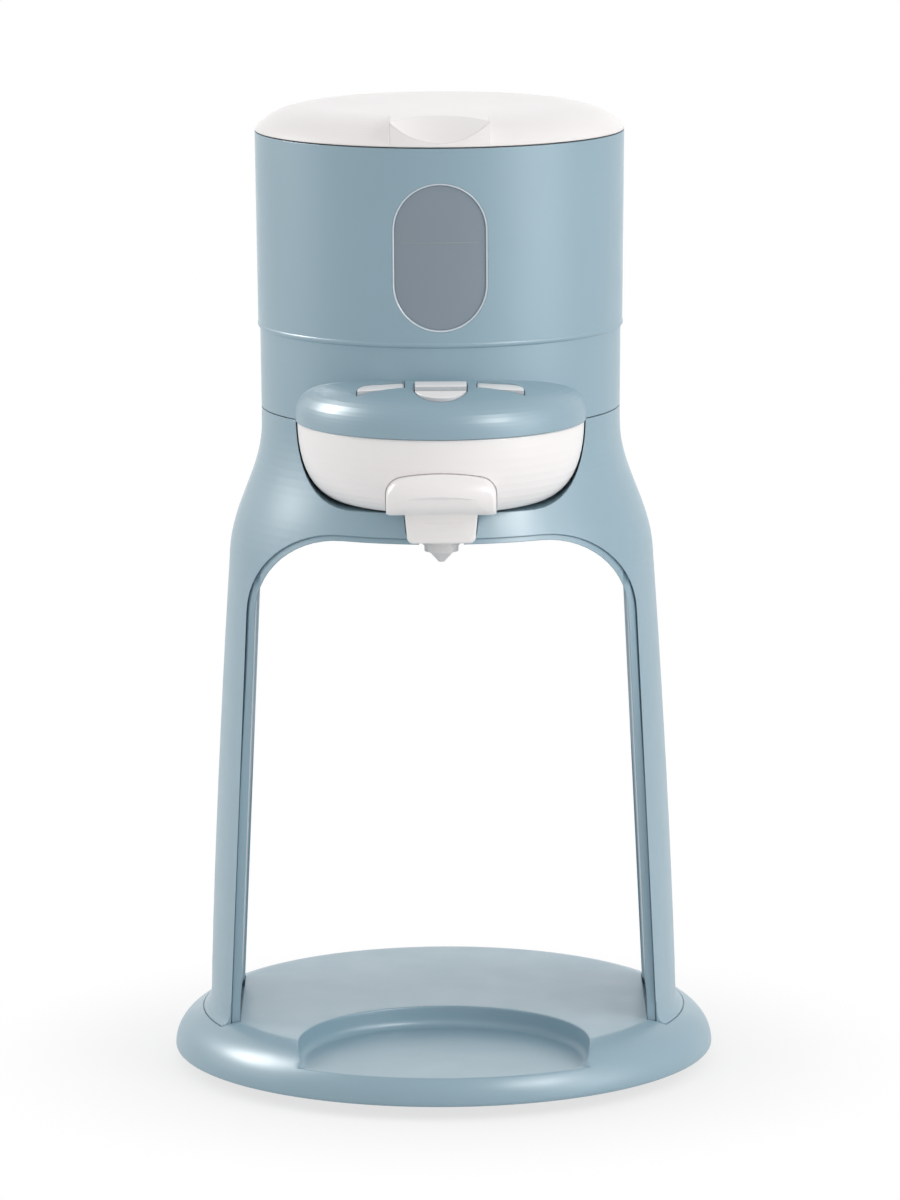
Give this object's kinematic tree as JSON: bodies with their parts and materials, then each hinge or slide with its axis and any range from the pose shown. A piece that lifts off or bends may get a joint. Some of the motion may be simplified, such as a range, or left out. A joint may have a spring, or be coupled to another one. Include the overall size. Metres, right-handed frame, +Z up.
{
  "type": "formula water warmer",
  "caption": "Round water tank and heater head held by a two-legged arch over a round base with a bottle recess, with a lift-up lid, a pull-out powder drawer and press keys.",
  "frame": {"origin": "on the ground, at the centre of the round base", "axes": "+Z up along the axis of the tank, -Y to the front where the drawer and keys are, +X to the right in the front view"},
  "size_m": [0.21, 0.21, 0.3742],
  "materials": {
    "stand": "satin blue-grey moulding",
    "white": "smooth warm white moulding",
    "drawer_strip": "smooth low-friction strip",
    "window": "polished smoked",
    "clear_tank": "polished clear",
    "frosted": "frosted",
    "black_plastic": "fine textured",
    "outlet_plastic": "smooth",
    "rubber": "matt",
    "screw_steel": "zinc plated",
    "anchor_steel": "plain",
    "boiler_metal": "cast",
    "heater_metal": "heat tinted",
    "pump_plastic": "moulded",
    "hose": "translucent silicone",
    "circuit_board": "lacquered board"
  },
  "bodies": {
    "stand": {"base_cover": "stand", "stand_shell": "stand", "arch_liner": "stand", "control_housing": "stand", "tank_housing": "stand", "drawer_runners": "drawer_strip", "window_lens": "window", "water_tank": "clear_tank", "base_plate": "black_plastic", "drawer_bay": "black_plastic", "chassis": "black_plastic", "head_deck": "black_plastic", "outlet_valve": "black_plastic", "key_switches": "black_plastic", "water_outlet": "outlet_plastic", "rubber_feet": "rubber", "cord_grommet": "rubber", "base_screws": "screw_steel", "leg_screws": "screw_steel", "chassis_screws": "screw_steel", "deck_screws": "screw_steel", "hinge_pin": "screw_steel", "leg_anchors": "anchor_steel", "boiler": "boiler_metal", "heating_element": "heater_metal", "pump": "pump_plastic", "inlet_hose": "hose", "transfer_hose": "hose", "outlet_hose": "hose", "power_board": "circuit_board", "key_board": "circuit_board"},
    "lid": {"lid": "white"},
    "drawer": {"drawer_shell": "white", "drawer_handle": "white", "powder_funnel": "clear_tank", "nozzle": "frosted"},
    "key_left": {"key_left": "white"},
    "key_right": {"key_right": "white"},
    "key_rear": {"key_rear": "white"},
    "key_front": {"key_front": "white"}
  },
  "joints": [
    {"name": "lid_hinge", "type": "hinge", "parent": "stand", "child": "lid", "pos_m": [0, 0.07525, 0.3625], "axis": [-1, 0, 0], "range_deg": [0, 100]},
    {"name": "drawer_slide", "type": "slide", "parent": "stand", "child": "drawer", "axis": [0, -1, 0], "range_m": [0, 0.115]},
    {"name": "key_left_press", "type": "slide", "parent": "stand", "child": "key_left", "axis": [0, 0, -1], "range_m": [0, 0.0007], "stiffness_N_per_m": 600},
    {"name": "key_right_press", "type": "slide", "parent": "stand", "child": "key_right", "axis": [0, 0, -1], "range_m": [0, 0.0007], "stiffness_N_per_m": 600},
    {"name": "key_rear_press", "type": "slide", "parent": "stand", "child": "key_rear", "axis": [0, 0, -1], "range_m": [0, 0.0007], "stiffness_N_per_m": 600},
    {"name": "key_front_press", "type": "slide", "parent": "stand", "child": "key_front", "axis": [0, 0, -1], "range_m": [0, 0.0007], "stiffness_N_per_m": 600}
  ]
}
